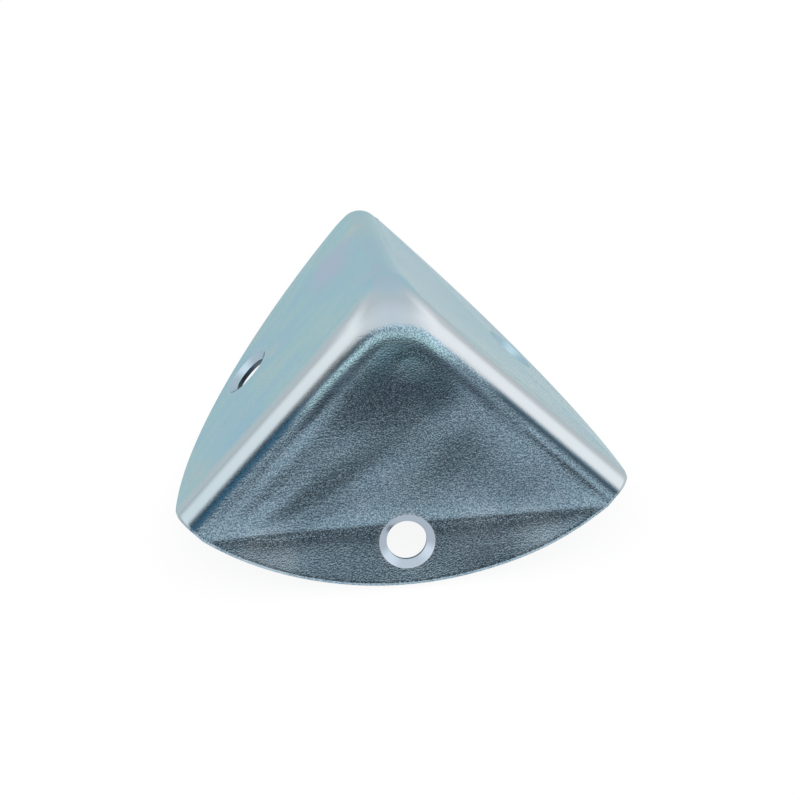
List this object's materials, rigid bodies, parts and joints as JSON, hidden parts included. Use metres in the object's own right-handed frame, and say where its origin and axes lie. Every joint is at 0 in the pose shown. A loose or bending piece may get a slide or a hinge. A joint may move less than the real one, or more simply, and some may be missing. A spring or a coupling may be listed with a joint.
{
  "type": "flight case corner",
  "caption": "Pressed sheet-steel corner for a flight case: leaves at right angles with rounded folds, a round crown, arc-shaped rims and a countersunk fixing hole in each leaf.",
  "frame": {"origin": "the corner of the case that sits inside: the point where the inner faces of the three leaves would meet, on the axis of the crown", "axes": "+Z is the three-fold axis, out of the case through the crown and up as the part stands on its rims; -Y is the side that the front leaf faces"},
  "size_m": [0.0562, 0.0542, 0.0289],
  "materials": {
    "zinc_plated_steel": "bright zinc plate with a pale blue passivated film"
  },
  "bodies": {
    "root": {"case_corner": "zinc_plated_steel"}
  },
  "joints": []
}
